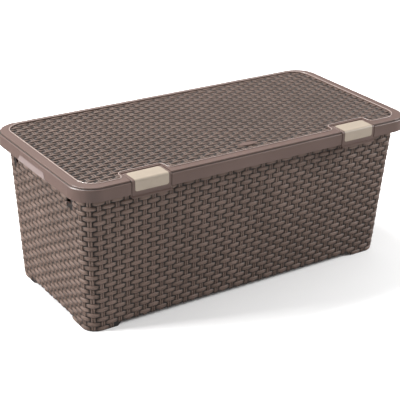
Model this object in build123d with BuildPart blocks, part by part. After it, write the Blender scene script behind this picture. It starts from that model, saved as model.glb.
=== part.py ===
from build123d import *
import os

# Rattan-effect storage box: a tub, a rear-hinged lid and two clip latches on the lid's front edge.
# The walls and the sunk panel are smooth here, at the base of the woven relief.
# Millimetres, floor at z = 0, centre of the footprint at the origin, front towards -Y, length along X.

# ---- overall sizes, which everything below hangs on ----
LENGTH = 790.0
WIDTH = 378.0
HEIGHT = 320.0

# ---- tub; insets are from the lid's outer faces, drops are from the overall height ----
TUB_END_INSET = 19.0
TUB_SIDE_INSET = 22.5
TUB_TAPER = 16.5
TUB_RIM_DROP = 10.4
TUB_WALL = 4.0
TUB_CORNER_R = 28.0
FOOT_HEIGHT = 9.0
FLOOR_THICKNESS = 4.0
FOOT_LENGTH = 62.5
FOOT_WIDTH = 61.0
FOOT_SLOPE = 8.0
LIP_THICKNESS = 5.0
LIP_END_INSET = 8.0
LIP_SIDE_INSET = 5.0
LIP_CORNER_R = 40.0
SLOT_INSET = 81.0
SLOT_WIDTH = 18.0
SLOT_DROP = 34.0
SLOT_HEIGHT = 24.0
END_SHIFT = 4.5

# ---- lid ----
LID_CORNER_R = 48.0
SKIRT_HEIGHT = 28.0
LID_WALL = 3.0
LID_UNDERSIDE_DROP = 7.0
FRAME_INSET = 3.4
FRAME_STEP = 3.2
SHOULDER_R = 2.4
FRAME_EDGE_R = 0.9
BEAD_WIDTH = 2.6
BEAD_HEIGHT = 0.8
BEAD_EDGE_R = 0.6
FRAME_FRONT = 21.5
FRAME_END = 23.0
FRAME_BACK = 15.0
PANEL_CORNER_R = 34.0
PANEL_DROP = 4.0
RIB_THICKNESS = 2.4
RIB_DEPTH = 3.0
RIB_PITCH = 110.0
RIB_COUNT = 6
GRIP_REACH = 2.2
GRIP_HEIGHT = 15.0
GRIP_EDGE_HEIGHT = 1.5
GRIP_TOP_WIDTH = 98.0
GRIP_BOTTOM_WIDTH = 118.0
GRIP_CORNER_R = 8.0
BADGE_LENGTH = 44.0
BADGE_WIDTH = 14.0
BADGE_INSET = 46.0
BADGE_RISE = 3.4

# ---- latches; insets are from the lid's front face or its ends ----
LATCH_END_INSET = 149.0
LATCH_WIDTH = 84.0
LATCH_SIDE_GAP = 1.5
LATCH_THICKNESS = 3.4
LATCH_CORNER_R = 5.0
LATCH_SIDE_R = 0.9
LATCH_TOP_DROP = 0.6
LATCH_FRONT_REACH = 0.4
LATCH_BOTTOM_DROP = 35.0
LATCH_PIVOT_INSET = 36.5
LATCH_PIVOT_DROP = 4.4
LATCH_BARREL_R = 3.6
LATCH_PIN_R = 1.8
PULL_LIP_REACH = 3.6
PULL_LIP_THICKNESS = 3.0
HOOK_ENGAGEMENT = 1.4
HOOK_CLEARANCE = 1.0
HOOK_THICKNESS = 3.6
HOOK_WIDTH = 60.0
PLATE_MARGIN = 6.0
PLATE_DEPTH = 0.8
PLATE_PROUD = 0.4
PLATE_INSET = 34.5
PLATE_BOTTOM_DROP = 23.0
PLATE_CORNER_R = 4.5
POCKET_BACK_GAP = 1.3
POCKET_FLOOR_GAP = 0.8
POCKET_FLOOR_INSET = 6.0
BARREL_FRONT_GAP = 1.9
BARREL_FLOOR_GAP = 1.0
POCKET_SKIN = 2.6
POCKET_SIDE = 3.2
BULGE_MARGIN = 8.0
BULGE_INSET = 48.5
BULGE_CORNER_R = 14.0
BULGE_ROOT_R = 9.0

# ---- rear hinges ----
HINGE_END_INSET = 175.0
HINGE_SIDE_INSET = 1.0
HINGE_SKIRT_DROP = 6.8
HINGE_BARREL_R = 5.0
HINGE_PIN_R = 2.4
LID_KNUCKLE = 26.0
TUB_KNUCKLE = 14.0
KNUCKLE_GAP = 0.5
BRACKET_DEPTH = 23.2

RUNNING_GAP = 0.05
OVERLAP = 1.0
TINY = 0.01

# ---- derived sizes ----
HALF_L = LENGTH / 2
HALF_W = WIDTH / 2
SIDES = (-1, 1)

TUB_RIM_Z = HEIGHT - TUB_RIM_DROP
TUB_TOP_LENGTH = LENGTH - 2 * TUB_END_INSET
TUB_TOP_WIDTH = WIDTH - 2 * TUB_SIDE_INSET
TUB_FLOOR_LENGTH = TUB_TOP_LENGTH - 2 * TUB_TAPER
TUB_FLOOR_WIDTH = TUB_TOP_WIDTH - 2 * TUB_TAPER
CAVITY_FLOOR_Z = FOOT_HEIGHT + FLOOR_THICKNESS
FOOT_INNER_X = TUB_FLOOR_LENGTH / 2 - FOOT_LENGTH
FOOT_INNER_Y = TUB_FLOOR_WIDTH / 2 - FOOT_WIDTH
LIP_BOTTOM_Z = TUB_RIM_Z - LIP_THICKNESS
SLOT_Y = HALF_W - SLOT_INSET
SLOT_CENTRE_Z = HEIGHT - SLOT_DROP - SLOT_HEIGHT / 2

SKIRT_BOTTOM_Z = HEIGHT - SKIRT_HEIGHT
LID_UNDERSIDE_Z = HEIGHT - LID_UNDERSIDE_DROP
FRAME_TOP_Z = HEIGHT - BEAD_HEIGHT
STEP_Z = FRAME_TOP_Z - FRAME_STEP
PANEL_Z = HEIGHT - PANEL_DROP
PANEL_LENGTH = LENGTH - 2 * FRAME_END
PANEL_WIDTH = WIDTH - FRAME_FRONT - FRAME_BACK
PANEL_CENTRE_Y = (FRAME_FRONT - FRAME_BACK) / 2
GRIP_TOP_Z = SKIRT_BOTTOM_Z + GRIP_HEIGHT
GRIP_EDGE_Z = SKIRT_BOTTOM_Z + GRIP_EDGE_HEIGHT
BADGE_Y = -HALF_W + BADGE_INSET

LATCH_X = HALF_L - LATCH_END_INSET
LATCH_TOP_Z = HEIGHT - LATCH_TOP_DROP
LATCH_FRONT_Y = -HALF_W - LATCH_FRONT_REACH
LATCH_BOTTOM_Z = HEIGHT - LATCH_BOTTOM_DROP
LATCH_PIVOT_Y = -HALF_W + LATCH_PIVOT_INSET
LATCH_PIVOT_Z = HEIGHT - LATCH_PIVOT_DROP
HOOK_TIP_Y = -HALF_W + LIP_SIDE_INSET + HOOK_ENGAGEMENT
HOOK_TOP_Z = LIP_BOTTOM_Z - HOOK_CLEARANCE
PLATE_WIDTH = LATCH_WIDTH - 2 * PLATE_MARGIN
PLATE_INNER_Y = -HALF_W + PLATE_INSET
PLATE_BOTTOM_Z = HEIGHT - PLATE_BOTTOM_DROP
POCKET_WIDTH = LATCH_WIDTH + 2 * LATCH_SIDE_GAP
POCKET_BACK_Y = LATCH_PIVOT_Y + LATCH_BARREL_R + POCKET_BACK_GAP
POCKET_FLOOR_Z = LATCH_TOP_Z - LATCH_THICKNESS - POCKET_FLOOR_GAP
POCKET_FLOOR_FRONT_Y = -HALF_W + POCKET_FLOOR_INSET
BARREL_POCKET_FRONT_Y = LATCH_PIVOT_Y - LATCH_BARREL_R - BARREL_FRONT_GAP
BARREL_POCKET_FLOOR_Z = LATCH_PIVOT_Z - LATCH_BARREL_R - BARREL_FLOOR_GAP
BULGE_WIDTH = LATCH_WIDTH + 2 * BULGE_MARGIN
BULGE_BACK_Y = -HALF_W + BULGE_INSET
LATCH_PIN_LENGTH = POCKET_WIDTH + 2 * POCKET_SIDE

HINGE_X = HALF_L - HINGE_END_INSET
HINGE_Y = HALF_W - HINGE_SIDE_INSET
HINGE_Z = SKIRT_BOTTOM_Z - HINGE_SKIRT_DROP
BRACKET_ROOT_Z = HINGE_Z - BRACKET_DEPTH
HINGE_STACK = LID_KNUCKLE + 2 * TUB_KNUCKLE + 2 * KNUCKLE_GAP

os.makedirs("parts", exist_ok=True)


def tub_length_at(z):
    """Outer length of the tapered tub at height z."""
    return TUB_FLOOR_LENGTH + (TUB_TOP_LENGTH - TUB_FLOOR_LENGTH) * z / TUB_RIM_Z


def tub_width_at(z):
    """Outer width of the tapered tub at height z."""
    return TUB_FLOOR_WIDTH + (TUB_TOP_WIDTH - TUB_FLOOR_WIDTH) * z / TUB_RIM_Z


def tub_section(z, inset):
    """Rounded rectangle of the tub at height z, moved in by inset."""
    with BuildSketch(Plane.XY.offset(z)) as section:
        RectangleRounded(
            tub_length_at(z) - 2 * inset,
            tub_width_at(z) - 2 * inset,
            TUB_CORNER_R - inset,
        )
    return section.sketch


outer_low = tub_section(0, 0)
outer_high = tub_section(TUB_RIM_Z, 0)
inner_low = tub_section(CAVITY_FLOOR_Z, TUB_WALL)
inner_high = tub_section(TUB_RIM_Z, TUB_WALL)

# ---- tub: tapered walls, raised floor, four corner feet, rim lip, end slots, hinge brackets ----
with BuildPart() as tub:
    loft(sections=[outer_low, outer_high])
    # the outward lip that the latches hook under
    with BuildSketch(Plane.XY.offset(LIP_BOTTOM_Z)):
        RectangleRounded(LENGTH - 2 * LIP_END_INSET, WIDTH - 2 * LIP_SIDE_INSET, LIP_CORNER_R)
    extrude(amount=LIP_THICKNESS)
    loft(sections=[inner_low, inner_high], mode=Mode.SUBTRACT)
    # the underside is raised between the feet, in both directions
    with BuildSketch(Plane.XZ):
        Polygon(
            (-FOOT_INNER_X, 0),
            (FOOT_INNER_X, 0),
            (FOOT_INNER_X - FOOT_SLOPE, FOOT_HEIGHT),
            (-FOOT_INNER_X + FOOT_SLOPE, FOOT_HEIGHT),
            align=None,
        )
    extrude(amount=WIDTH, both=True, mode=Mode.SUBTRACT)
    with BuildSketch(Plane.YZ):
        Polygon(
            (-FOOT_INNER_Y, 0),
            (FOOT_INNER_Y, 0),
            (FOOT_INNER_Y - FOOT_SLOPE, FOOT_HEIGHT),
            (-FOOT_INNER_Y + FOOT_SLOPE, FOOT_HEIGHT),
            align=None,
        )
    extrude(amount=LENGTH, both=True, mode=Mode.SUBTRACT)
    # two upright slots through each end wall, under the lid's skirt
    with Locations((0, END_SHIFT, SLOT_CENTRE_Z)):
        with GridLocations(TUB_TOP_LENGTH, 2 * SLOT_Y, 2, 2):
            Box(8 * TUB_WALL, SLOT_WIDTH, SLOT_HEIGHT, mode=Mode.SUBTRACT)
    # rear hinge brackets: two knuckles each side of the lid's own knuckle
    wall_y = tub_width_at(BRACKET_ROOT_Z) / 2 - OVERLAP
    for side in SIDES:
        for knuckle in SIDES:
            knuckle_x = side * HINGE_X + knuckle * (LID_KNUCKLE + TUB_KNUCKLE + 2 * KNUCKLE_GAP) / 2
            with BuildSketch(Plane.YZ.offset(knuckle_x)):
                Polygon(
                    (wall_y, HINGE_Z + HINGE_BARREL_R),
                    (HINGE_Y, HINGE_Z + HINGE_BARREL_R),
                    (HINGE_Y, HINGE_Z - HINGE_BARREL_R),
                    (wall_y, BRACKET_ROOT_Z),
                    align=None,
                )
                with Locations((HINGE_Y, HINGE_Z)):
                    Circle(HINGE_BARREL_R)
            extrude(amount=TUB_KNUCKLE / 2, both=True)
        with BuildSketch(Plane.YZ.offset(side * HINGE_X)):
            with Locations((HINGE_Y, HINGE_Z)):
                Circle(HINGE_PIN_R)
        extrude(amount=HINGE_STACK / 2 + OVERLAP, both=True, mode=Mode.SUBTRACT)
tub.part.label = "tub"


def bulge_outline(shrink):
    """Plan outline of the frame's bulge round one latch pocket, drawn about x = 0."""
    half = BULGE_WIDTH / 2 - shrink
    back = BULGE_BACK_Y - shrink
    with BuildSketch() as outline:
        Polygon(
            (-half, -HALF_W),
            (half, -HALF_W),
            (half, back),
            (-half, back),
            align=None,
        )
        back_corners = outline.vertices().group_by(Axis.Y)[-1]
        fillet(back_corners, BULGE_CORNER_R - shrink)
    return outline.sketch


def panel_outline(growth):
    """Plan outline of the sunk woven panel, which steps round both latch pockets."""
    bulge = bulge_outline(growth)
    with BuildSketch() as outline:
        with Locations((0, PANEL_CENTRE_Y)):
            RectangleRounded(
                PANEL_LENGTH + 2 * growth,
                PANEL_WIDTH + 2 * growth,
                PANEL_CORNER_R + growth,
            )
        with Locations((-LATCH_X, 0), (LATCH_X, 0)):
            add(bulge, mode=Mode.SUBTRACT)
        front_y = PANEL_CENTRE_Y - PANEL_WIDTH / 2 - growth
        root_corners = [
            corner
            for corner in outline.vertices()
            if abs(corner.Y - front_y) < TINY and abs(abs(corner.X) - LATCH_X) < BULGE_WIDTH / 2
        ]
        fillet(root_corners, BULGE_ROOT_R + growth)
    return outline.sketch


panel_edge = panel_outline(0)
bead_edge = panel_outline(BEAD_WIDTH)


def grip_outline(side, reach):
    """End view of one grip, at a reach out from the skirt: its ends slope in as it rises."""
    with BuildSketch(Plane.YZ.offset(side * (HALF_L + reach))) as outline:
        Polygon(
            (END_SHIFT - GRIP_BOTTOM_WIDTH / 2 + reach, SKIRT_BOTTOM_Z),
            (END_SHIFT + GRIP_BOTTOM_WIDTH / 2 - reach, SKIRT_BOTTOM_Z),
            (END_SHIFT + GRIP_TOP_WIDTH / 2 - reach, GRIP_TOP_Z),
            (END_SHIFT - GRIP_TOP_WIDTH / 2 + reach, GRIP_TOP_Z),
            align=None,
        )
        upper_corners = outline.vertices().group_by(Axis.Y)[-1]
        fillet(upper_corners, GRIP_CORNER_R)
    return outline.sketch


def grip_solid(side):
    """Flared lifting grip for one end of the lid's skirt, proudest near its lower edge."""
    root = grip_outline(side, -OVERLAP)
    tip = grip_outline(side, GRIP_REACH)
    with BuildPart() as grip:
        loft(sections=[root, tip])
        with BuildSketch(Plane.XZ):
            Polygon(
                (side * (HALF_L - OVERLAP), SKIRT_BOTTOM_Z),
                (side * HALF_L, SKIRT_BOTTOM_Z),
                (side * (HALF_L + GRIP_REACH), GRIP_EDGE_Z),
                (side * HALF_L, GRIP_TOP_Z),
                (side * (HALF_L - OVERLAP), GRIP_TOP_Z),
                align=None,
            )
        extrude(amount=WIDTH / 2, both=True, mode=Mode.INTERSECT)
    return grip.part


grips = [grip_solid(side) for side in SIDES]

# ---- lid: skirt, stepped frame, sunk panel, latch pockets, end grips, hinge knuckles ----
with BuildPart() as lid:
    # lower level with the rounded shoulder
    with BuildSketch(Plane.XY.offset(SKIRT_BOTTOM_Z)):
        RectangleRounded(LENGTH, WIDTH, LID_CORNER_R)
    extrude(amount=STEP_Z - SKIRT_BOTTOM_Z)
    fillet(lid.faces().sort_by(Axis.Z)[-1].edges(), SHOULDER_R)
    # upper level: the smooth frame
    with BuildSketch(Plane.XY.offset(STEP_Z)):
        RectangleRounded(
            LENGTH - 2 * FRAME_INSET,
            WIDTH - 2 * FRAME_INSET,
            LID_CORNER_R - FRAME_INSET,
        )
    extrude(amount=FRAME_STEP)
    fillet(lid.faces().sort_by(Axis.Z)[-1].edges(), FRAME_EDGE_R)
    # raised bead along the frame's inner edge
    with BuildSketch(Plane.XY.offset(FRAME_TOP_Z)):
        add(bead_edge)
        add(panel_edge, mode=Mode.SUBTRACT)
    extrude(amount=BEAD_HEIGHT)
    fillet(lid.faces().sort_by(Axis.Z)[-1].edges(), BEAD_EDGE_R)
    # the sunk panel
    with BuildSketch(Plane.XY.offset(PANEL_Z)):
        add(panel_edge)
    extrude(amount=HEIGHT, mode=Mode.SUBTRACT)
    # hollow underside
    with BuildSketch(Plane.XY.offset(SKIRT_BOTTOM_Z)):
        RectangleRounded(LENGTH - 2 * LID_WALL, WIDTH - 2 * LID_WALL, LID_CORNER_R - LID_WALL)
    extrude(amount=LID_UNDERSIDE_Z - SKIRT_BOTTOM_Z, mode=Mode.SUBTRACT)
    # stiffening ribs under the panel, clear of the tub's rim
    rib_z = LID_UNDERSIDE_Z - RIB_DEPTH / 2
    with Locations((0, 0, rib_z)):
        with GridLocations(RIB_PITCH, 1, RIB_COUNT, 1):
            Box(RIB_THICKNESS, TUB_FLOOR_WIDTH, RIB_DEPTH)
        with GridLocations(1, TUB_FLOOR_WIDTH / 2, 1, 2):
            Box(TUB_FLOOR_LENGTH, RIB_THICKNESS, RIB_DEPTH)
    # thickened skin round each latch pocket, then the pocket itself, open to the front
    for side in SIDES:
        with Locations((side * LATCH_X, (POCKET_BACK_Y + BARREL_POCKET_FRONT_Y) / 2, BARREL_POCKET_FLOOR_Z)):
            Box(
                POCKET_WIDTH + 2 * POCKET_SIDE,
                POCKET_BACK_Y - BARREL_POCKET_FRONT_Y + 2 * POCKET_SKIN,
                2 * POCKET_SKIN,
            )
        with BuildSketch(Plane.YZ.offset(side * LATCH_X)):
            Polygon(
                (-WIDTH, SKIRT_BOTTOM_Z - OVERLAP),
                (POCKET_FLOOR_FRONT_Y, SKIRT_BOTTOM_Z - OVERLAP),
                (POCKET_FLOOR_FRONT_Y, POCKET_FLOOR_Z),
                (BARREL_POCKET_FRONT_Y, POCKET_FLOOR_Z),
                (BARREL_POCKET_FRONT_Y, BARREL_POCKET_FLOOR_Z),
                (POCKET_BACK_Y, BARREL_POCKET_FLOOR_Z),
                (POCKET_BACK_Y, HEIGHT + OVERLAP),
                (-WIDTH, HEIGHT + OVERLAP),
                align=None,
            )
        extrude(amount=POCKET_WIDTH / 2, both=True, mode=Mode.SUBTRACT)
        # bores for the latch pin in the pocket's side walls
        with BuildSketch(Plane.YZ.offset(side * LATCH_X)):
            with Locations((LATCH_PIVOT_Y, LATCH_PIVOT_Z)):
                Circle(LATCH_PIN_R)
        extrude(amount=POCKET_WIDTH / 2 + POCKET_SIDE, both=True, mode=Mode.SUBTRACT)
    # flared lifting grip on each end of the skirt
    add(grips)
    # blank oval boss near the front of the panel
    with BuildSketch(Plane.XY.offset(PANEL_Z - TINY)):
        with Locations((0, BADGE_Y)):
            Ellipse(BADGE_LENGTH / 2, BADGE_WIDTH / 2)
    extrude(amount=BADGE_RISE)
    # hinge knuckles hanging from the rear skirt
    for side in SIDES:
        with BuildSketch(Plane.YZ.offset(side * HINGE_X)):
            Polygon(
                (HALF_W - LID_WALL, HINGE_Z),
                (HALF_W - LID_WALL, SKIRT_BOTTOM_Z + 2 * OVERLAP),
                (HALF_W + OVERLAP, SKIRT_BOTTOM_Z + 2 * OVERLAP),
                (HALF_W + OVERLAP, HINGE_Z),
                align=None,
            )
            with Locations((HINGE_Y, HINGE_Z)):
                Circle(HINGE_BARREL_R)
                Circle(HINGE_PIN_R + RUNNING_GAP, mode=Mode.SUBTRACT)
        extrude(amount=LID_KNUCKLE / 2, both=True)
lid.part.label = "lid"


def l_band(outer, inner, inner_end_y, bottom_z):
    """Side profile of an L-shaped band; outer and inner are depths in from the latch's faces."""
    top = LATCH_TOP_Z - outer
    under = LATCH_TOP_Z - inner
    front = LATCH_FRONT_Y + outer
    back = LATCH_FRONT_Y + inner
    with BuildSketch() as band:
        Polygon(
            (inner_end_y, top),
            (front, top),
            (front, bottom_z),
            (back, bottom_z),
            (back, under),
            (inner_end_y, under),
            align=None,
        )
        corners = (
            (front, top, LATCH_CORNER_R - outer),
            (back, under, LATCH_CORNER_R - inner),
        )
        for corner_y, corner_z, radius in corners:
            at_corner = [v for v in band.vertices() if abs(v.X - corner_y) + abs(v.Y - corner_z) < TINY]
            fillet(at_corner, radius)
    return band.sketch


def plate_solid(side):
    """The inlay plate of one latch, with rounded corners on both of its faces."""
    band = l_band(-PLATE_PROUD, PLATE_DEPTH, PLATE_INNER_Y, PLATE_BOTTOM_Z)
    with BuildPart() as plate:
        with BuildSketch(Plane.YZ.offset(side * LATCH_X)):
            add(band)
        extrude(amount=PLATE_WIDTH / 2, both=True)
        upright = plate.edges().filter_by(Axis.Z)
        level = plate.edges().filter_by(Axis.Y)
        inner_end = upright.group_by(Axis.Y)[-1]
        lower_end = level.group_by(Axis.Z)[0]
        fillet(inner_end + lower_end, PLATE_CORNER_R)
    return plate.part


def latch_solid(side):
    """One clip: L-shaped body, pivot barrel, pull lip, hook and the seat for its plate."""
    band = l_band(0, LATCH_THICKNESS, LATCH_PIVOT_Y, LATCH_BOTTOM_Z)
    plate = plate_solid(side)
    with BuildPart() as latch:
        with BuildSketch(Plane.YZ.offset(side * LATCH_X)):
            add(band)
            with Locations((LATCH_PIVOT_Y, LATCH_PIVOT_Z)):
                Circle(LATCH_BARREL_R)
            Polygon(
                (LATCH_FRONT_Y + LATCH_THICKNESS, LATCH_BOTTOM_Z),
                (LATCH_FRONT_Y - PULL_LIP_REACH, LATCH_BOTTOM_Z),
                (LATCH_FRONT_Y - PULL_LIP_REACH, LATCH_BOTTOM_Z + PULL_LIP_THICKNESS / 2),
                (LATCH_FRONT_Y, LATCH_BOTTOM_Z + PULL_LIP_THICKNESS),
                (LATCH_FRONT_Y + LATCH_THICKNESS, LATCH_BOTTOM_Z + PULL_LIP_THICKNESS),
                align=None,
            )
        extrude(amount=LATCH_WIDTH / 2, both=True)
        # the outer edges of both ends are rounded, from the pivot down to the pull lip
        end_edges = latch.faces().filter_by(Axis.X).edges()
        above_lip = [edge for edge in end_edges if edge.center().Z > LATCH_BOTTOM_Z + PULL_LIP_THICKNESS]
        outer_edges = [
            edge
            for edge in above_lip
            if edge.center().Z > LATCH_TOP_Z - TINY or edge.center().Y < LATCH_FRONT_Y + LATCH_CORNER_R / 2
        ]
        fillet(outer_edges, LATCH_SIDE_R)
        with BuildSketch(Plane.YZ.offset(side * LATCH_X)):
            Polygon(
                (LATCH_FRONT_Y + LATCH_THICKNESS - TINY, HOOK_TOP_Z),
                (HOOK_TIP_Y, HOOK_TOP_Z),
                (HOOK_TIP_Y, HOOK_TOP_Z - HOOK_THICKNESS / 2),
                (LATCH_FRONT_Y + LATCH_THICKNESS - TINY, HOOK_TOP_Z - 2 * HOOK_THICKNESS),
                align=None,
            )
        extrude(amount=HOOK_WIDTH / 2, both=True)
        with BuildSketch(Plane.YZ.offset(side * LATCH_X)):
            with Locations((LATCH_PIVOT_Y, LATCH_PIVOT_Z)):
                Circle(LATCH_PIN_R + RUNNING_GAP)
        extrude(amount=LATCH_WIDTH, both=True, mode=Mode.SUBTRACT)
        add(plate, mode=Mode.SUBTRACT)
    return latch.part


# ---- the two latches and their plates ----
latch_left_solid = latch_solid(-1)
latch_right_solid = latch_solid(1)
plate_left_solid = plate_solid(-1)
plate_right_solid = plate_solid(1)

with BuildPart() as latch_left:
    add(latch_left_solid)
latch_left.part.label = "latch_left"

with BuildPart() as latch_right:
    add(latch_right_solid)
latch_right.part.label = "latch_right"

with BuildPart() as latch_plate_left:
    add(plate_left_solid)
latch_plate_left.part.label = "latch_plate_left"

with BuildPart() as latch_plate_right:
    add(plate_right_solid)
latch_plate_right.part.label = "latch_plate_right"


# ---- pins: pressed in the lid's pocket walls and in the tub's knuckles ----
with BuildPart() as latch_pin_left:
    with BuildSketch(Plane.YZ.offset(-LATCH_X)):
        with Locations((LATCH_PIVOT_Y, LATCH_PIVOT_Z)):
            Circle(LATCH_PIN_R)
    extrude(amount=LATCH_PIN_LENGTH / 2, both=True)
latch_pin_left.part.label = "latch_pin_left"

with BuildPart() as latch_pin_right:
    with BuildSketch(Plane.YZ.offset(LATCH_X)):
        with Locations((LATCH_PIVOT_Y, LATCH_PIVOT_Z)):
            Circle(LATCH_PIN_R)
    extrude(amount=LATCH_PIN_LENGTH / 2, both=True)
latch_pin_right.part.label = "latch_pin_right"

with BuildPart() as hinge_pin_left:
    with BuildSketch(Plane.YZ.offset(-HINGE_X)):
        with Locations((HINGE_Y, HINGE_Z)):
            Circle(HINGE_PIN_R)
    extrude(amount=HINGE_STACK / 2, both=True)
hinge_pin_left.part.label = "hinge_pin_left"

with BuildPart() as hinge_pin_right:
    with BuildSketch(Plane.YZ.offset(HINGE_X)):
        with Locations((HINGE_Y, HINGE_Z)):
            Circle(HINGE_PIN_R)
    extrude(amount=HINGE_STACK / 2, both=True)
hinge_pin_right.part.label = "hinge_pin_right"

# ---- one STEP file per sub-part ----
export_step(tub.part, "parts/tub.step")
export_step(lid.part, "parts/lid.step")
export_step(latch_left.part, "parts/latch_left.step")
export_step(latch_right.part, "parts/latch_right.step")
export_step(latch_plate_left.part, "parts/latch_plate_left.step")
export_step(latch_plate_right.part, "parts/latch_plate_right.step")
export_step(latch_pin_left.part, "parts/latch_pin_left.step")
export_step(latch_pin_right.part, "parts/latch_pin_right.step")
export_step(hinge_pin_left.part, "parts/hinge_pin_left.step")
export_step(hinge_pin_right.part, "parts/hinge_pin_right.step")
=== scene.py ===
import math
from collections import namedtuple

import bpy
import numpy as np
from mathutils import Matrix, Vector


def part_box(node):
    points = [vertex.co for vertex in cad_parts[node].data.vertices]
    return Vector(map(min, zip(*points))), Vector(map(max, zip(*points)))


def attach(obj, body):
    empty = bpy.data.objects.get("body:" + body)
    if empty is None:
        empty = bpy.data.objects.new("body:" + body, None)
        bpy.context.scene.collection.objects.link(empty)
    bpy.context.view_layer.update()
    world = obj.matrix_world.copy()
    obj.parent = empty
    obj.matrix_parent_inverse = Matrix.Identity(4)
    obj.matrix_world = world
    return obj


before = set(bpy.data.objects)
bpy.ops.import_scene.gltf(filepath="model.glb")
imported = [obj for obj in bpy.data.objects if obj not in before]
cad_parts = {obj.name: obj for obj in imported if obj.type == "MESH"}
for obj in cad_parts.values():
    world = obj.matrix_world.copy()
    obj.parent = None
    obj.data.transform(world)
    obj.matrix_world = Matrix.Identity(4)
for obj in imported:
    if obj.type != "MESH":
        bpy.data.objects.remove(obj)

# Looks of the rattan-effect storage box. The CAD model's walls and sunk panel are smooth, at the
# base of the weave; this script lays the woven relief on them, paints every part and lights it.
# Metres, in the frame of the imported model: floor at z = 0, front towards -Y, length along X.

MM = 0.001

# ---- sizes that the CAD part also uses, from the box of each node inwards ----
GRIP_REACH = 2.2 * MM
TUB_END_INSET = 19.0 * MM
TUB_SIDE_INSET = 22.5 * MM
TUB_TAPER = 16.5 * MM
TUB_CORNER_R = 28.0 * MM
FOOT_HEIGHT = 9.0 * MM
FOOT_LENGTH = 62.5 * MM
FOOT_WIDTH = 61.0 * MM
RIM_DROP = 10.4 * MM
LIP_THICKNESS = 5.0 * MM
SLOT_INSET = 81.0 * MM
SLOT_WIDTH = 18.0 * MM
SLOT_DROP = 34.0 * MM
SLOT_HEIGHT = 24.0 * MM
END_SHIFT = 4.5 * MM
PANEL_DROP = 4.0 * MM
PANEL_CORNER_R = 34.0 * MM
FRAME_FRONT = 21.5 * MM
FRAME_END = 23.0 * MM
FRAME_BACK = 15.0 * MM
LATCH_END_INSET = 149.0 * MM
BULGE_WIDTH = 100.0 * MM
BULGE_INSET = 48.5 * MM
BULGE_CORNER_R = 14.0 * MM
BULGE_ROOT_R = 9.0 * MM
BEAD_WIDTH = 2.6 * MM
BEAD_HEIGHT = 0.8 * MM

# ---- the weave: flat wefts laid over and under pairs of round stakes ----
STAKES_ROUND = 108
STAKE_PHASE = 5.3 * MM
ROW_PITCH = 10.5 * MM
FIRST_ROW = 5.4 * MM
WALL_ROWS = 29
LID_STAKE_PITCH = 18.55 * MM
LID_ROW_PITCH = 10.25 * MM
FIRST_LID_ROW = 0.45
FLOAT_HALF_LENGTH = 14.6 * MM
FLOAT_HALF_WIDTH = 4.7 * MM
FLOAT_CREST = 2.4 * MM
LID_FLOAT_HALF_WIDTH = 3.2 * MM
LID_FLOAT_CREST = 2.8 * MM
STRAND_HALF_LENGTH = 8.2 * MM
STRAND_HALF_WIDTH = 2.15 * MM
LID_STRAND_HALF_WIDTH = 1.9 * MM
STRAND_OFFSET = 2.25 * MM
STRAND_CREST = 1.9 * MM
ROOT_DEPTH = 0.4 * MM
EDGE_GAP = 0.3 * MM
STAKE_HANG = 1.3 * MM
SHORTEST = 3.0 * MM
PANEL_TUCK = 2.5 * MM

SEED = 7
rng = np.random.default_rng(SEED)

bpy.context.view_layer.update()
lid_low, lid_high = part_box("lid")

height = lid_high.z
half_l = lid_high.x - GRIP_REACH
half_w = -lid_low.y
rim_z = height - RIM_DROP
lip_z = rim_z - LIP_THICKNESS
panel_z = height - PANEL_DROP


# ---- places on the tub's wall ----
def half_length_at(z):
    """Half the tub's outer length at height z."""
    return half_l - TUB_END_INSET - TUB_TAPER * (1 - z / rim_z)


def half_width_at(z):
    """Half the tub's outer width at height z."""
    return half_w - TUB_SIDE_INSET - TUB_TAPER * (1 - z / rim_z)


mid_z = rim_z / 2
FRONT_RUN = 2 * (half_length_at(mid_z) - TUB_CORNER_R)
SIDE_RUN = 2 * (half_width_at(mid_z) - TUB_CORNER_R)
CORNER_RUN = TUB_CORNER_R * math.pi / 2
PERIMETER = 2 * (FRONT_RUN + SIDE_RUN + 2 * CORNER_RUN)
STAKE_PITCH = PERIMETER / STAKES_ROUND
FRONT_SHARE = (FRONT_RUN + CORNER_RUN) / 2


def on_wall(along, up, out):
    """Points on the tub's wall: along from the front's middle towards +X and round, up from the
    floor, and out from the wall's face."""
    turn = np.mod(along + FRONT_RUN / 2, PERIMETER)
    flat_x = half_length_at(up) - TUB_CORNER_R
    flat_y = half_width_at(up) - TUB_CORNER_R
    x = np.zeros_like(turn)
    y = np.zeros_like(turn)
    start = 0.0
    # the four straight runs, each followed by its corner, anticlockwise from the front
    sides = (
        (FRONT_RUN, (1, 0), (0, -1)),
        (SIDE_RUN, (0, 1), (1, 0)),
        (FRONT_RUN, (-1, 0), (0, 1)),
        (SIDE_RUN, (0, -1), (-1, 0)),
    )
    for run, (dx, dy), (nx, ny) in sides:
        on_run = (turn >= start) & (turn < start + run)
        share = 2 * (turn - start) / run - 1
        reach = TUB_CORNER_R + out
        run_x = dx * share * flat_x + nx * (flat_x + reach)
        run_y = dy * share * flat_y + ny * (flat_y + reach)
        x = np.where(on_run, run_x, x)
        y = np.where(on_run, run_y, y)
        start += run
        on_corner = (turn >= start) & (turn < start + CORNER_RUN)
        angle = (turn - start) / TUB_CORNER_R
        corner_x = (dx + nx) * flat_x + reach * (nx * np.cos(angle) + dx * np.sin(angle))
        corner_y = (dy + ny) * flat_y + reach * (ny * np.cos(angle) + dy * np.sin(angle))
        x = np.where(on_corner, corner_x, x)
        y = np.where(on_corner, corner_y, y)
        start += CORNER_RUN
    return x, y, up


def on_panel(along, across, out):
    """Points on the lid's sunk panel."""
    return along, across, panel_z + out


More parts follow.
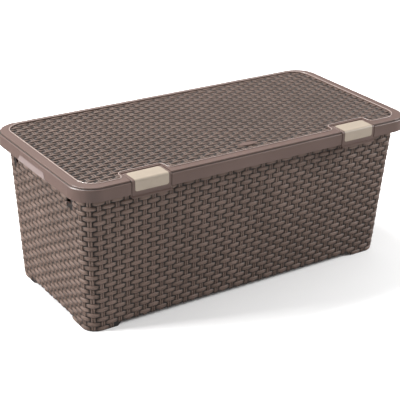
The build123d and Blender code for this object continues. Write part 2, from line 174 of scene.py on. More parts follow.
# ---- strands: each is a small arched shell whose rim is buried in the wall ----
FLOAT_STEPS = (-1, -0.94, -0.82, -0.62, -0.34, 0, 0.34, 0.62, 0.82, 0.94, 1)
FLOAT_RIBS = (-1, -0.9, -0.56, 0, 0.56, 0.9, 1)
STRAND_STEPS = (-1, -0.66, -0.33, 0, 0.33, 0.66, 1)
STRAND_RIBS = (-1, -0.8, 0, 0.8, 1)

# each strand's own height, width and lean, as a range of random draws
HEIGHT_SPREAD = (0.93, 1.0)
WIDTH_SPREAD = (0.96, 1.02)
LEAN_SPREAD = (-0.012, 0.012)

# the shapes of humps, as the sharpness and power that dome() takes
END_TAPER = (4.0, 0.5)
ARCH_SHAPE = (2.3, 0.8)
SECTION_SHAPE = (2.6, 0.55)

QUAD_CORNERS = 4
SPAN_VALUES = 5

# One kind of strand. taper is how much its width narrows at the ends. shade is how high the painted
# shade at the strand's buried edges reaches, as a share of the crest, and flank is how much that painted
# shade climbs the strand's long sides (1) rather than only its ends (0).
Kind = namedtuple("Kind", "steps ribs half_width crest taper shade flank")


def dome(share, sharpness, power):
    """A rounded hump: 1 in the middle, 0 at either end."""
    return np.clip(1 - np.abs(share) ** sharpness, 0, 1) ** power


def shells(spans, steps, ribs, half_width, crest, taper, shade, flank):
    """The strands of one kind, as arrays over their points: along, across and out from the
    surface, place across the strand, random tint, and how far the point stands clear of the painted
    shade at the strand's buried edges (0 to 1). spans holds, for each strand, its middle across, the low and
    high end of its mesh, and the low and high end of its arch. The other values are those of its Kind."""
    spans = np.asarray(spans, float).reshape(-1, SPAN_VALUES)
    count = len(spans)
    step = np.asarray(steps, float)[None, :, None]
    rib = np.asarray(ribs, float)[None, None, :]
    centre, low, high, arch_low, arch_high = (spans[:, i][:, None, None] for i in range(SPAN_VALUES))
    along = (low + high) / 2 + step * (high - low) / 2
    share = (along - (arch_low + arch_high) / 2) / ((arch_high - arch_low) / 2)
    share = np.clip(share, -1, 1)
    height_factor = rng.uniform(*HEIGHT_SPREAD, count)[:, None, None]
    width_factor = rng.uniform(*WIDTH_SPREAD, count)[:, None, None]
    lean = rng.uniform(*LEAN_SPREAD, count)[:, None, None]
    width = half_width * width_factor * (1 - taper + taper * dome(share, *END_TAPER))
    across = centre + rib * width + lean * (along - (low + high) / 2)
    arch = crest * height_factor * dome(share, *ARCH_SHAPE)
    out = (arch + ROOT_DEPTH) * dome(rib, *SECTION_SHAPE) - ROOT_DEPTH
    along = np.broadcast_to(along, out.shape)
    tint = np.broadcast_to(rng.uniform(0, 1, count)[:, None, None], out.shape)
    fibre = np.broadcast_to(rib * half_width, out.shape)
    # how far the point stands clear of the painted shade that darkens each strand's buried edges
    painted_shade_lift = np.clip((flank * out + (1 - flank) * arch) / (crest * shade), 0, 1)
    return along, across, out, fibre, tint, painted_shade_lift


def grid_faces(count, steps, ribs):
    """Quads of count grids of steps by ribs points."""
    n_steps, n_ribs = len(steps), len(ribs)
    i, j = np.meshgrid(np.arange(n_steps - 1), np.arange(n_ribs - 1), indexing="ij")
    corner = (i * n_ribs + j).ravel()
    quad = np.stack([corner, corner + n_ribs, corner + n_ribs + 1, corner + 1], 1)
    starts = np.arange(count)[:, None, None] * (n_steps * n_ribs)
    return (starts + quad[None]).reshape(-1, QUAD_CORNERS)


class Weave:
    """Gathers strands, and turns them into one mesh."""

    def __init__(self, place):
        self.place = place
        self.points = []
        self.faces = []
        self.notes = []
        self.painted_shade_lifts = []
        self.size = 0

    def add(self, spans, kind, upright):
        """Adds strands; upright ones run along the second coordinate of the surface."""
        if not len(spans):
            return
        along, across, out, fibre, tint, painted_shade_lift = shells(spans, *kind)
        first, second = (across, along) if upright else (along, across)
        x, y, z = self.place(first, second, out)
        self.points.append(np.stack([x.ravel(), y.ravel(), z.ravel()], 1))
        faces = grid_faces(len(along), kind.steps, kind.ribs) + self.size
        self.faces.append(faces[:, ::-1] if upright else faces)
        self.notes.append(np.stack([along.ravel(), fibre.ravel(), tint.ravel()], 1))
        self.painted_shade_lifts.append(painted_shade_lift.ravel())
        self.size += along.size

    def build(self, name, body, material):
        points = np.concatenate(self.points)
        faces = np.concatenate(self.faces)
        mesh = bpy.data.meshes.new(name)
        mesh.vertices.add(len(points))
        mesh.vertices.foreach_set("co", points.astype(np.float32).ravel())
        mesh.loops.add(faces.size)
        mesh.loops.foreach_set("vertex_index", faces.astype(np.int32).ravel())
        mesh.polygons.add(len(faces))
        loop_starts = np.arange(0, faces.size, QUAD_CORNERS, dtype=np.int32)
        mesh.polygons.foreach_set("loop_start", loop_starts)
        mesh.polygons.foreach_set("use_smooth", np.ones(len(faces), bool))
        fibre = mesh.attributes.new("fibre", "FLOAT_VECTOR", "POINT")
        fibre.data.foreach_set("vector", np.concatenate(self.notes).astype(np.float32).ravel())
        # each point's clearance of the painted shade, read by the weave's material
        painted_shade_lift = mesh.attributes.new("painted_shade_lift", "FLOAT", "POINT")
        painted_shade_lift.data.foreach_set("value", np.concatenate(self.painted_shade_lifts).astype(np.float32))
        mesh.update(calc_edges=True)
        mesh.validate()
        mesh.materials.append(material)
        piece = bpy.data.objects.new(name, mesh)
        bpy.context.scene.collection.objects.link(piece)
        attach(piece, body)
        return piece


FLOAT = Kind(
    FLOAT_STEPS, FLOAT_RIBS, FLOAT_HALF_WIDTH, FLOAT_CREST, taper=0.75, shade=0.75, flank=0.4
)
LID_FLOAT = Kind(
    FLOAT_STEPS, FLOAT_RIBS, LID_FLOAT_HALF_WIDTH, LID_FLOAT_CREST, taper=0.75, shade=0.9, flank=1.0
)
STRAND = Kind(
    STRAND_STEPS, STRAND_RIBS, STRAND_HALF_WIDTH, STRAND_CREST, taper=0.0, shade=0.85, flank=0.4
)
LID_STRAND = Kind(
    STRAND_STEPS, STRAND_RIBS, LID_STRAND_HALF_WIDTH, STRAND_CREST, taper=0.0, shade=1.0, flank=1.0
)


def signed_along(along):
    """Distance along the wall from the front's middle, from minus to plus half the perimeter."""
    return (along + PERIMETER / 2) % PERIMETER - PERIMETER / 2


def wall_corner_distance(along):
    """How far a place lies from the middle of the nearest corner, along the wall."""
    from_front = abs(signed_along(along))
    front_corner = FRONT_SHARE
    back_corner = PERIMETER / 2 - FRONT_SHARE
    return min(abs(from_front - front_corner), abs(from_front - back_corner))


def is_end_wall(along):
    return FRONT_SHARE < abs(signed_along(along)) < PERIMETER / 2 - FRONT_SHARE


def is_on_foot(along):
    """True where a corner foot carries the wall down to the floor."""
    reach = FOOT_WIDTH if is_end_wall(along) else FOOT_LENGTH
    return wall_corner_distance(along) < reach - TUB_CORNER_R + CORNER_RUN / 2


def slot_gaps():
    """Low and high end, along the wall, of the four slots in the end walls."""
    middle_of_end = FRONT_SHARE + (SIDE_RUN + CORNER_RUN) / 2
    offset = half_w - SLOT_INSET
    gaps = []
    for end in (-1, 1):
        for side in (-1, 1):
            middle = end * (middle_of_end + END_SHIFT + side * offset)
            gaps.append((middle - SLOT_WIDTH / 2, middle + SLOT_WIDTH / 2))
    return gaps


SLOT_LOW_Z = height - SLOT_DROP - SLOT_HEIGHT
SLOT_HIGH_Z = height - SLOT_DROP


def cut_by_gaps(low, high, gaps):
    """The stretches of low..high that no gap covers."""
    stretches = [(low, high)]
    for gap_low, gap_high in gaps:
        kept = []
        for a, b in stretches:
            if gap_high <= a or gap_low >= b:
                kept.append((a, b))
                continue
            kept += [(a, gap_low), (gap_high, b)]
        stretches = kept
    return [(a, b) for a, b in stretches if b - a > SHORTEST]


def side_of(along):
    """Name of the wall that a place belongs to."""
    place = signed_along(along)
    if abs(place) < FRONT_SHARE:
        return "front"
    if abs(place) > PERIMETER / 2 - FRONT_SHARE:
        return "back"
    return "right" if place > 0 else "left"


def weave_walls(material):
    """The woven relief on the tub's four walls, as one piece for each."""
    walls = {side: Weave(on_wall) for side in ("front", "back", "left", "right")}
    floats = {side: [] for side in walls}
    strands = {side: [] for side in walls}
    slots = slot_gaps()
    for stake in range(STAKES_ROUND):
        along = signed_along(STAKE_PHASE + stake * STAKE_PITCH)
        side = side_of(along)
        on_foot = is_on_foot(along)
        float_bottom = 0 if on_foot else FOOT_HEIGHT
        stake_bottom = EDGE_GAP if on_foot else FOOT_HEIGHT - STAKE_HANG
        for row in range(WALL_ROWS):
            up = FIRST_ROW + row * ROW_PITCH
            in_slot_rows = SLOT_LOW_Z - FLOAT_HALF_WIDTH < up < SLOT_HIGH_Z + FLOAT_HALF_WIDTH
            if (stake + row) % 2 == 0:
                if up - FLOAT_HALF_WIDTH < float_bottom:
                    continue
                gaps = slots if in_slot_rows else []
                for low, high in cut_by_gaps(along - FLOAT_HALF_LENGTH, along + FLOAT_HALF_LENGTH, gaps):
                    floats[side].append((up, low, high, low, high))
                continue
            low = max(up - STRAND_HALF_LENGTH, stake_bottom)
            high = min(up + STRAND_HALF_LENGTH, lip_z)
            if high - low < SHORTEST:
                continue
            for offset in (-STRAND_OFFSET, STRAND_OFFSET):
                middle = along + offset
                over_slot = any(a - STRAND_HALF_WIDTH < middle < b + STRAND_HALF_WIDTH for a, b in slots)
                gaps = [(SLOT_LOW_Z, SLOT_HIGH_Z)] if over_slot else []
                for a, b in cut_by_gaps(low, high, gaps):
                    strands[side].append((middle, a, b, low, up + STRAND_HALF_LENGTH))
    for side, weave in walls.items():
        weave.add(floats[side], FLOAT, upright=False)
        weave.add(strands[side], STRAND, upright=True)
        weave.build("weave_" + side, "tub", material)


# ---- the panel's outline, a little beyond its edge so that strands run in under the frame ----
panel_half_l = half_l - FRAME_END + PANEL_TUCK
panel_front_y = -half_w + FRAME_FRONT - PANEL_TUCK
panel_back_y = half_w - FRAME_BACK + PANEL_TUCK
latch_x = half_l - LATCH_END_INSET
bulge_half = BULGE_WIDTH / 2 - PANEL_TUCK
bulge_back_y = -half_w + BULGE_INSET - PANEL_TUCK


def corner_cut(depth, radius):
    """How far a rounded corner pulls an edge in, at a depth from the other edge."""
    if depth >= radius:
        return 0.0
    return radius - math.sqrt(max(radius**2 - (radius - depth) ** 2, 0.0))


def panel_x_limit(y):
    """Half length of the panel at y."""
    depth = max(min(y - panel_front_y, panel_back_y - y), 0.0)
    return panel_half_l - corner_cut(depth, PANEL_CORNER_R)


def panel_y_limits(x):
    """Front and back edge of the panel at x, round the latch bulges."""
    depth = max(panel_half_l - abs(x), 0.0)
    cut = corner_cut(depth, PANEL_CORNER_R)
    front = panel_front_y + cut
    into_bulge = bulge_half - abs(abs(x) - latch_x)
    if into_bulge > 0:
        front = bulge_back_y - corner_cut(into_bulge, BULGE_CORNER_R)
    return front, panel_back_y - cut


def weave_lid(material):
    """The woven relief on the lid's sunk panel."""
    weave = Weave(on_panel)
    floats, strands = [], []
    n_stakes = math.ceil(panel_half_l / LID_STAKE_PITCH)
    n_rows = math.ceil((panel_back_y - panel_front_y) / LID_ROW_PITCH) + 1
    for row in range(n_rows):
        y = panel_back_y - PANEL_TUCK - (row + FIRST_LID_ROW) * LID_ROW_PITCH
        for stake in range(-n_stakes, n_stakes + 1):
            x = stake * LID_STAKE_PITCH
            if (stake + row) % 2 == 0:
                limit = max(panel_x_limit(y - FLOAT_HALF_WIDTH / 2), panel_x_limit(y + FLOAT_HALF_WIDTH / 2))
                low = max(x - FLOAT_HALF_LENGTH, -limit)
                high = min(x + FLOAT_HALF_LENGTH, limit)
                gaps = []
                for side in (-1, 1):
                    depth = bulge_back_y - (y - FLOAT_HALF_WIDTH)
                    if depth > 0:
                        half = bulge_half - corner_cut(depth, BULGE_CORNER_R)
                        gaps.append((side * latch_x - half, side * latch_x + half))
                if y + FLOAT_HALF_WIDTH < panel_front_y or y > panel_back_y:
                    continue
                for a, b in cut_by_gaps(low, high, gaps):
                    floats.append((y, a, b, x - FLOAT_HALF_LENGTH, x + FLOAT_HALF_LENGTH))
                continue
            for offset in (-STRAND_OFFSET, STRAND_OFFSET):
                if abs(x + offset) > panel_half_l:
                    continue
                front, back = panel_y_limits(x + offset)
                low = max(y - STRAND_HALF_LENGTH, front)
                high = min(y + STRAND_HALF_LENGTH, back)
                if high - low > SHORTEST:
                    strands.append(
                        (x + offset, low, high, y - STRAND_HALF_LENGTH, y + STRAND_HALF_LENGTH)
                    )
    weave.add(floats, LID_FLOAT, upright=False)
    weave.add(strands, LID_STRAND, upright=True)
    return weave.build("weave_lid", "lid", material)


# ---- the bead round the panel's edge ----
ARC_STEPS = 8
BEAD_ROUND_STEPS = 3


def rounded(corners):
    """Points round a closed outline of square corners, each given as (x, y, radius)."""
    points = []
    for i, (x, y, radius) in enumerate(corners):
        corner = Vector((x, y))
        back = (Vector(corners[i - 1][:2]) - corner).normalized()
        ahead = (Vector(corners[(i + 1) % len(corners)][:2]) - corner).normalized()
        centre = corner + radius * (back + ahead)
        for step in range(ARC_STEPS + 1):
            angle = math.pi / 2 * step / ARC_STEPS
            points.append(centre - radius * (ahead * math.cos(angle) + back * math.sin(angle)))
    return points


def panel_bead(material):
    """The half-round bead that edges the sunk panel and passes round both latch bulges."""
    radius = BEAD_WIDTH / 2
    end_x = half_l - FRAME_END + radius
    front_y = -half_w + FRAME_FRONT - radius
    back_y = half_w - FRAME_BACK + radius
    bulge_y = -half_w + BULGE_INSET - radius
    bulge_x = BULGE_WIDTH / 2 - radius
    edge_r = PANEL_CORNER_R + radius
    corners = [(end_x, back_y, edge_r), (-end_x, back_y, edge_r), (-end_x, front_y, edge_r)]
    for middle in (-latch_x, latch_x):
        corners += [
            (middle - bulge_x, front_y, BULGE_ROOT_R + radius),
            (middle - bulge_x, bulge_y, BULGE_CORNER_R - radius),
            (middle + bulge_x, bulge_y, BULGE_CORNER_R - radius),
            (middle + bulge_x, front_y, BULGE_ROOT_R + radius),
        ]
    corners.append((end_x, front_y, edge_r))
    curve = bpy.data.curves.new("panel_bead", "CURVE")
    curve.dimensions = "3D"
    curve.bevel_depth = radius
    curve.bevel_resolution = BEAD_ROUND_STEPS
    points = rounded(corners)
    spline = curve.splines.new("POLY")
    spline.points.add(len(points) - 1)
    for place, point in zip(spline.points, points):
        place.co = (point.x, point.y, height - BEAD_HEIGHT, 1)
    spline.use_cyclic_u = True
    curve.materials.append(material)
    bead = bpy.data.objects.new("panel_bead", curve)
    bpy.context.scene.collection.objects.link(bead)
    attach(bead, "lid")


# ---- materials ----
BROWN_DARK = (0.055, 0.036, 0.028, 1)
BROWN = (0.104, 0.070, 0.056, 1)
BROWN_LIGHT = (0.127, 0.087, 0.071, 1)
# painted shade: the near-black that stands in for the shade in the gaps of the weave
PAINTED_PIT_SHADE = (0.008, 0.005, 0.004, 1)
SMOOTH_BROWN = (0.072, 0.044, 0.036, 1)
SMOOTH_LIGHT = (0.086, 0.054, 0.045, 1)
# painted light: the grips are lighter than the skirt, as their upward-facing flare looks under light from
# above
GRIP_PAINTED_LIGHT = (0.140, 0.106, 0.100, 1)
# painted highlight: the bead is the frame's brown plastic, coloured much lighter to give a bright line along
# its edge
BEAD_PAINTED_HIGHLIGHT = (0.20, 0.155, 0.14, 1)
BEAD_PAINTED_HIGHLIGHT_PALE = (0.24, 0.19, 0.17, 1)
BEIGE = (0.212, 0.176, 0.138, 1)
BEIGE_LIGHT = (0.240, 0.200, 0.156, 1)
PIN_GREY = (0.05, 0.042, 0.038, 1)
PIN_LIGHT = (0.09, 0.078, 0.07, 1)


# the part of a noise's range that its values mostly fill, and the detail of the noises
NOISE_LOW = 0.3
NOISE_HIGH = 0.7
NOISE_DETAIL = 3.0
LESS_DETAIL = 2.0

# noise scales: clouds of colour, and the grain of the surface
WEAVE_CLOUD = 9.0
SMOOTH_CLOUD = 7.0
PLAIN_CLOUD = 25.0
FLOOR_CLOUD = 1.5
WEAVE_GRAIN = 1400.0
SMOOTH_GRAIN = 1100.0
PLAIN_GRAIN = 1500.0

# fibre lines: how the coordinates along, across and per strand are stretched
FIBRE_STRETCH = (90, 2400, 31)
FIBRE_SCALE = 1.0

# ranges as (from low, from high, to low, to high)
CLOUD_TO_DARK = (0.35, 0.7, 0.0, 0.35)
LINES_TO_FURROW = (0.25, 0.55, 0.45, 0.0)
# painted shade: the next range turns each point's clearance into how much painted shade is mixed in
LIFT_TO_PAINTED_SHADE = (0.15, 1.0, 1.0, 0.0)
LINES_TO_ROUGHNESS = (NOISE_LOW, NOISE_HIGH, 0.56, 0.46)
GRAIN_TO_ROUGHNESS = (NOISE_LOW, NOISE_HIGH, 0.33, 0.42)

# bumps as (strength, distance in metres)
FIBRE_BUMP = (0.35, 0.0004)
WEAVE_GRAIN_BUMP = (0.12, 0.0001)
SMOOTH_GRAIN_BUMP = (0.10, 0.00012)
PLAIN_GRAIN_BUMP = (0.08, 0.0001)

# gloss of each plastic
WEAVE_SPECULAR = 0.22
FLOOR_SPECULAR = 0.1
FLOOR_ROUGHNESS = 0.8
BEIGE_ROUGHNESS = 0.36
BEAD_ROUGHNESS = 0.27
PIN_ROUGHNESS = 0.4
SMOOTHER_BY = 0.04
ROUGHER_BY = 0.05

# where one zone of a CAD part's colour passes into another, such as the painted shade and painted light
# zones: how far a face turns outward or upward, and how far it lies from an edge
FACES_OUT = (0.05, 0.10)
FACES_UP = (0.9, 0.95)
ZONE_NEAR = 0.2 * MM
ZONE_FAR = 0.4 * MM
LIP_ZONE_NEAR = 0.1 * MM
GRIP_ZONE_FAR = 0.6 * MM


def new_material(name):
    """A node material with its tree emptied down to the shader and the output."""
    material = bpy.data.materials.new(name)
    material.use_nodes = True
    nodes = material.node_tree.nodes
    nodes.clear()
    output = nodes.new("ShaderNodeOutputMaterial")
    shader = nodes.new("ShaderNodeBsdfPrincipled")
    material.node_tree.links.new(shader.outputs["BSDF"], output.inputs["Surface"])
    return material, nodes, material.node_tree.links, shader


def noise(nodes, links, vector, scale, detail=NOISE_DETAIL):
    """Noise on a coordinate output, as a node."""
    node = nodes.new("ShaderNodeTexNoise")
    node.inputs["Scale"].default_value = scale
    node.inputs["Detail"].default_value = detail
    links.new(vector, node.inputs["Vector"])
    return node


def ramp(nodes, links, value, stops):
    """A colour ramp from a value, with stops of (place, colour)."""
    node = nodes.new("ShaderNodeValToRGB")
    elements = node.color_ramp.elements
    elements[0].position, elements[0].color = stops[0]
    elements[1].position, elements[1].color = stops[-1]
    for place, colour in stops[1:-1]:
        elements.new(place).color = colour
    links.new(value, node.inputs["Fac"])
    return node


def mix(nodes, links, factor, first, second):
    """Mixes two colour outputs or constants by a factor output."""
    node = nodes.new("ShaderNodeMix")
    node.data_type = "RGBA"
    links.new(factor, node.inputs["Factor"])
    for socket, value in ((node.inputs[6], first), (node.inputs[7], second)):
        if isinstance(value, tuple):
            socket.default_value = value
        else:
            links.new(value, socket)
    return node.outputs[2]


def to_range(nodes, links, value, low, high, new_low, new_high):
    """A value output mapped, and held, from low..high to new_low..new_high."""
    node = nodes.new("ShaderNodeMapRange")
    links.new(value, node.inputs["Value"])
    node.inputs["From Min"].default_value = low
    node.inputs["From Max"].default_value = high
    node.inputs["To Min"].default_value = new_low
    node.inputs["To Max"].default_value = new_high
    return node.outputs["Result"]


def add_bump(nodes, links, shader, height_value, strength, distance, before=None):
    """A bump from a value output, on top of another bump's normal if there is one."""
    node = nodes.new("ShaderNodeBump")
    node.inputs["Strength"].default_value = strength
    node.inputs["Distance"].default_value = distance
    links.new(height_value, node.inputs["Height"])
    if before is not None:
        links.new(before, node.inputs["Normal"])
    links.new(node.outputs["Normal"], shader.inputs["Normal"])
    return node.outputs["Normal"]


def scaled(nodes, links, vector, scale):
    """A coordinate output multiplied by a vector."""
    node = nodes.new("ShaderNodeVectorMath")
    node.operation = "MULTIPLY"
    links.new(vector, node.inputs[0])
    node.inputs[1].default_value = scale
    return node.outputs["Vector"]


def weave_plastic():
    """Brown plastic moulded as rattan: fibre lines along each strand, strands of mixed tone, and painted
    shade towards each strand's buried edges.
    """
    material, nodes, links, shader = new_material("weave_plastic")
    shader.inputs["Specular IOR Level"].default_value = WEAVE_SPECULAR
    fibre = nodes.new("ShaderNodeAttribute")
    fibre.attribute_name = "fibre"
    place = nodes.new("ShaderNodeTexCoord").outputs["Object"]
    stretched = scaled(nodes, links, fibre.outputs["Vector"], FIBRE_STRETCH)
    lines = noise(nodes, links, stretched, FIBRE_SCALE, LESS_DETAIL)
    parts = nodes.new("ShaderNodeSeparateXYZ")
    links.new(fibre.outputs["Vector"], parts.inputs[0])
    shade = ramp(nodes, links, parts.outputs["Z"], ((0.0, BROWN), (1.0, BROWN_LIGHT)))
    cloud = noise(nodes, links, place, WEAVE_CLOUD)
    drift = to_range(nodes, links, cloud.outputs["Fac"], *CLOUD_TO_DARK)
    clouded = mix(nodes, links, drift, shade.outputs["Color"], BROWN_DARK)
    furrow = to_range(nodes, links, lines.outputs["Fac"], *LINES_TO_FURROW)
    furrowed = mix(nodes, links, furrow, clouded, BROWN_DARK)
    # painted shade: the colour goes near black where a strand sinks into the wall, in place of the shade in
    # the gaps of the weave
    painted_shade_lift = nodes.new("ShaderNodeAttribute")
    painted_shade_lift.attribute_name = "painted_shade_lift"
    flank = to_range(nodes, links, painted_shade_lift.outputs["Fac"], *LIFT_TO_PAINTED_SHADE)
    links.new(mix(nodes, links, flank, furrowed, PAINTED_PIT_SHADE), shader.inputs["Base Color"])
    gloss = to_range(nodes, links, lines.outputs["Fac"], *LINES_TO_ROUGHNESS)
    links.new(gloss, shader.inputs["Roughness"])
    grain = noise(nodes, links, place, WEAVE_GRAIN, LESS_DETAIL)
    first = add_bump(nodes, links, shader, lines.outputs["Fac"], *FIBRE_BUMP)
    add_bump(nodes, links, shader, grain.outputs["Fac"], *WEAVE_GRAIN_BUMP, first)
    return material


def smooth_brown(name, pit_shade=None, grip_light=None):
    """Smooth brown moulded plastic with a fine grain. The first mask, called with (nodes, links), gives a
    value output that is 1 where the surface lies behind the weave, which gets painted shade; the second
    gives one that is 1 on the grips, which get painted light."""
    material, nodes, links, shader = new_material(name)
    place = nodes.new("ShaderNodeTexCoord").outputs["Object"]
    cloud = noise(nodes, links, place, SMOOTH_CLOUD)
    stops = ((NOISE_LOW, SMOOTH_BROWN), (NOISE_HIGH, SMOOTH_LIGHT))
    colour = ramp(nodes, links, cloud.outputs["Fac"], stops).outputs["Color"]
    if pit_shade is not None:
        # painted shade: near black where the smooth wall shows only in the gaps of the weave
        colour = mix(nodes, links, pit_shade(nodes, links), colour, PAINTED_PIT_SHADE)
    if grip_light is not None:
        # painted light: the grips are coloured lighter than the rest of the lid
        colour = mix(nodes, links, grip_light(nodes, links), colour, GRIP_PAINTED_LIGHT)
    links.new(colour, shader.inputs["Base Color"])
    grain = noise(nodes, links, place, SMOOTH_GRAIN)
    rough = to_range(nodes, links, grain.outputs["Fac"], *GRAIN_TO_ROUGHNESS)
    links.new(rough, shader.inputs["Roughness"])
    add_bump(nodes, links, shader, grain.outputs["Fac"], *SMOOTH_GRAIN_BUMP)
    return material


def tub_pit_shade(nodes, links):
    """Where the tub gets painted shade: 1 on the outer walls under the rim lip, seen only between the
    strands of the weave, 0 inside and on the lip.
    """
    coordinates = nodes.new("ShaderNodeTexCoord")
    outward = nodes.new("ShaderNodeVectorMath")
    outward.operation = "DOT_PRODUCT"
    flat = scaled(nodes, links, coordinates.outputs["Object"], (1, 1, 0))
    links.new(coordinates.outputs["Normal"], outward.inputs[0])
    links.new(flat, outward.inputs[1])
    facing_out = to_range(nodes, links, outward.outputs["Value"], *FACES_OUT, 0.0, 1.0)
    parts = nodes.new("ShaderNodeSeparateXYZ")
    links.new(coordinates.outputs["Object"], parts.inputs[0])
    edge = (lip_z - ZONE_FAR, lip_z - LIP_ZONE_NEAR)
    below = to_range(nodes, links, parts.outputs["Z"], *edge, 1.0, 0.0)
    both = nodes.new("ShaderNodeMath")
    both.operation = "MULTIPLY"
    links.new(facing_out, both.inputs[0])
    links.new(below, both.inputs[1])
    return both.outputs["Value"]


def lid_pit_shade(nodes, links):
    """Where the lid gets painted shade: 1 on the sunk panel, seen only between the strands of the weave, 0
    elsewhere.
    """
    coordinates = nodes.new("ShaderNodeTexCoord")
    parts = nodes.new("ShaderNodeSeparateXYZ")
    links.new(coordinates.outputs["Object"], parts.inputs[0])
    facing = nodes.new("ShaderNodeSeparateXYZ")
    links.new(coordinates.outputs["Normal"], facing.inputs[0])
    up = to_range(nodes, links, facing.outputs["Z"], *FACES_UP, 0.0, 1.0)
    above = (panel_z + ZONE_NEAR, panel_z + ZONE_FAR)
    under = (panel_z - ZONE_FAR, panel_z - ZONE_NEAR)
    level = to_range(nodes, links, parts.outputs["Z"], *above, 1.0, 0.0)
    high_enough = to_range(nodes, links, parts.outputs["Z"], *under, 0.0, 1.0)
    product = up
    for value in (level, high_enough):
        step = nodes.new("ShaderNodeMath")
        step.operation = "MULTIPLY"
        links.new(product, step.inputs[0])
        links.new(value, step.inputs[1])
        product = step.outputs["Value"]
    return product


def grip_painted_light(nodes, links):
    """Where the lid gets painted light: 1 on the two grips, which stand proud of the lid's ends and are made
    lighter as if lit from above, 0 elsewhere.
    """
    parts = nodes.new("ShaderNodeSeparateXYZ")
    links.new(nodes.new("ShaderNodeTexCoord").outputs["Object"], parts.inputs[0])
    either_end = nodes.new("ShaderNodeMath")
    either_end.operation = "ABSOLUTE"
    links.new(parts.outputs["X"], either_end.inputs[0])
    reach = either_end.outputs["Value"]
    edge = (half_l + ZONE_NEAR, half_l + GRIP_ZONE_FAR)
    return to_range(nodes, links, reach, *edge, 0.0, 1.0)


def plain_plastic(name, dark, light, roughness):
    """Moulded plastic of one colour family, with soft clouds and a fine grain."""
    material, nodes, links, shader = new_material(name)
    place = nodes.new("ShaderNodeTexCoord").outputs["Object"]
    cloud = noise(nodes, links, place, PLAIN_CLOUD)
    colour = ramp(nodes, links, cloud.outputs["Fac"], ((NOISE_LOW, dark), (NOISE_HIGH, light)))
    links.new(colour.outputs["Color"], shader.inputs["Base Color"])
    grain = noise(nodes, links, place, PLAIN_GRAIN, LESS_DETAIL)
    spread = (NOISE_LOW, NOISE_HIGH, roughness - SMOOTHER_BY, roughness + ROUGHER_BY)
    rough = to_range(nodes, links, grain.outputs["Fac"], *spread)
    links.new(rough, shader.inputs["Roughness"])
    add_bump(nodes, links, shader, grain.outputs["Fac"], *PLAIN_GRAIN_BUMP)
    return material


def paint(node, material):
    """Gives a CAD node one material."""
    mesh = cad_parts[node].data
    mesh.materials.clear()
    mesh.materials.append(material)


weave_material = weave_plastic()
brown_material = smooth_brown("brown_plastic")
beige_material = plain_plastic("beige_plastic", BEIGE, BEIGE_LIGHT, BEIGE_ROUGHNESS)
# painted highlight: the bead is coloured much lighter than the frame it belongs to
bead_highlight_material = plain_plastic("bead_painted_highlight", BEAD_PAINTED_HIGHLIGHT, BEAD_PAINTED_HIGHLIGHT_PALE, BEAD_ROUGHNESS)
pin_material = plain_plastic("pin_plastic", PIN_GREY, PIN_LIGHT, PIN_ROUGHNESS)

# painted shade on the tub's walls and the lid's panel behind the weave, and painted light on the lid's grips
paint("tub", smooth_brown("tub_plastic", tub_pit_shade))
paint("lid", smooth_brown("lid_plastic", lid_pit_shade, grip_painted_light))
for hand in ("left", "right"):
    paint("latch_" + hand, brown_material)
    paint("latch_plate_" + hand, beige_material)
    paint("latch_pin_" + hand, pin_material)
    paint("hinge_pin_" + hand, pin_material)

weave_walls(weave_material)
weave_lid(weave_material)
panel_bead(bead_highlight_material)


# ---- floor, light and camera ----
FLOOR_SIZE = 40.0
FLOOR_WHITE = (0.84, 0.84, 0.84, 1)
FLOOR_SHADE = (0.82, 0.82, 0.82, 1)
WORLD_OVERHEAD = (1.0, 1.0, 1.0, 1)
WORLD_HORIZON = (0.42, 0.42, 0.42, 1)
WORLD_STRENGTH = 0.95
WORLD_RISE = (0.5, 0.85)

# soft lights as (name, place, side of the square, watts)
LIGHTS = (
    ("light_rear_left", (-3.3, 1.2, 1.8), 1.2, 275),
    ("light_right", (3.2, -1.5, 1.6), 1.1, 165),
    ("light_top", (-0.6, 1.6, 3.2), 1.2, 215),
)

CAMERA_PLACE = Vector((-1.2472, -1.8290, 1.1503))
CAMERA_YAW = 0.594
CAMERA_PITCH = 0.428
CAMERA_ROLL = 0.028
CAMERA_LENS = 103.4
SENSOR = 36.0


def make_floor():
    """A wide pale floor."""
    bpy.ops.mesh.primitive_plane_add(size=FLOOR_SIZE, location=(0, 0, 0))
    floor = bpy.context.object
    floor.name = "floor"
    material, nodes, links, shader = new_material("floor_white")
    place = nodes.new("ShaderNodeTexCoord").outputs["Object"]
    cloud = noise(nodes, links, place, FLOOR_CLOUD)
    colour = ramp(nodes, links, cloud.outputs["Fac"], ((NOISE_LOW, FLOOR_WHITE), (NOISE_HIGH, FLOOR_SHADE)))
    links.new(colour.outputs["Color"], shader.inputs["Base Color"])
    shader.inputs["Roughness"].default_value = FLOOR_ROUGHNESS
    shader.inputs["Specular IOR Level"].default_value = FLOOR_SPECULAR
    floor.data.materials.append(material)
    floor.visible_glossy = False


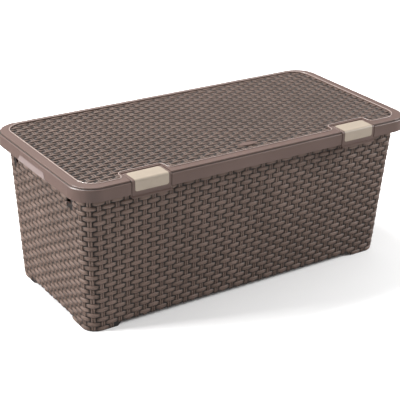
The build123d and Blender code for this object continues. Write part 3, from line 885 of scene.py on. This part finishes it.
def soft_light(name, place, size, power):
    """A square soft light that faces the object and that no camera sees."""
    data = bpy.data.lights.new(name, "AREA")
    data.shape = "SQUARE"
    data.size = size
    data.energy = power
    light = bpy.data.objects.new(name, data)
    light.location = place
    aim = Vector((0, 0, height / 2)) - Vector(place)
    light.rotation_mode = "QUATERNION"
    light.rotation_quaternion = aim.to_track_quat("-Z", "Y")
    light.visible_camera = False
    bpy.context.scene.collection.objects.link(light)


def make_camera():
    """The camera, at the viewing angle that the box is looked at from."""
    sin_yaw, cos_yaw = math.sin(CAMERA_YAW), math.cos(CAMERA_YAW)
    ahead = Vector(
        (
            sin_yaw * math.cos(CAMERA_PITCH),
            cos_yaw * math.cos(CAMERA_PITCH),
            -math.sin(CAMERA_PITCH),
        )
    )
    right = Vector((cos_yaw, -sin_yaw, 0))
    up = right.cross(ahead)
    rolled_right = right * math.cos(CAMERA_ROLL) + up * math.sin(CAMERA_ROLL)
    rolled_up = up * math.cos(CAMERA_ROLL) - right * math.sin(CAMERA_ROLL)
    data = bpy.data.cameras.new("camera")
    data.lens = CAMERA_LENS
    data.sensor_width = SENSOR
    camera = bpy.data.objects.new("camera", data)
    axes = Matrix((rolled_right, rolled_up, -ahead)).transposed()
    camera.matrix_world = Matrix.Translation(CAMERA_PLACE) @ axes.to_4x4()
    bpy.context.scene.collection.objects.link(camera)
    bpy.context.scene.camera = camera


def make_world():
    """White surroundings that are bright overhead and dim towards the horizon."""
    world = bpy.data.worlds.new("studio")
    world.use_nodes = True
    nodes, links = world.node_tree.nodes, world.node_tree.links
    background = nodes["Background"]
    parts = nodes.new("ShaderNodeSeparateXYZ")
    links.new(nodes.new("ShaderNodeTexCoord").outputs["Generated"], parts.inputs[0])
    share = to_range(nodes, links, parts.outputs["Z"], *WORLD_RISE, 0.0, 1.0)
    links.new(mix(nodes, links, share, WORLD_HORIZON, WORLD_OVERHEAD), background.inputs["Color"])
    background.inputs["Strength"].default_value = WORLD_STRENGTH
    bpy.context.scene.world = world


make_floor()
make_world()
for light_name, light_place, light_size, light_power in LIGHTS:
    soft_light(light_name, light_place, light_size, light_power)
make_camera()
bpy.context.scene.view_settings.view_transform = "Standard"
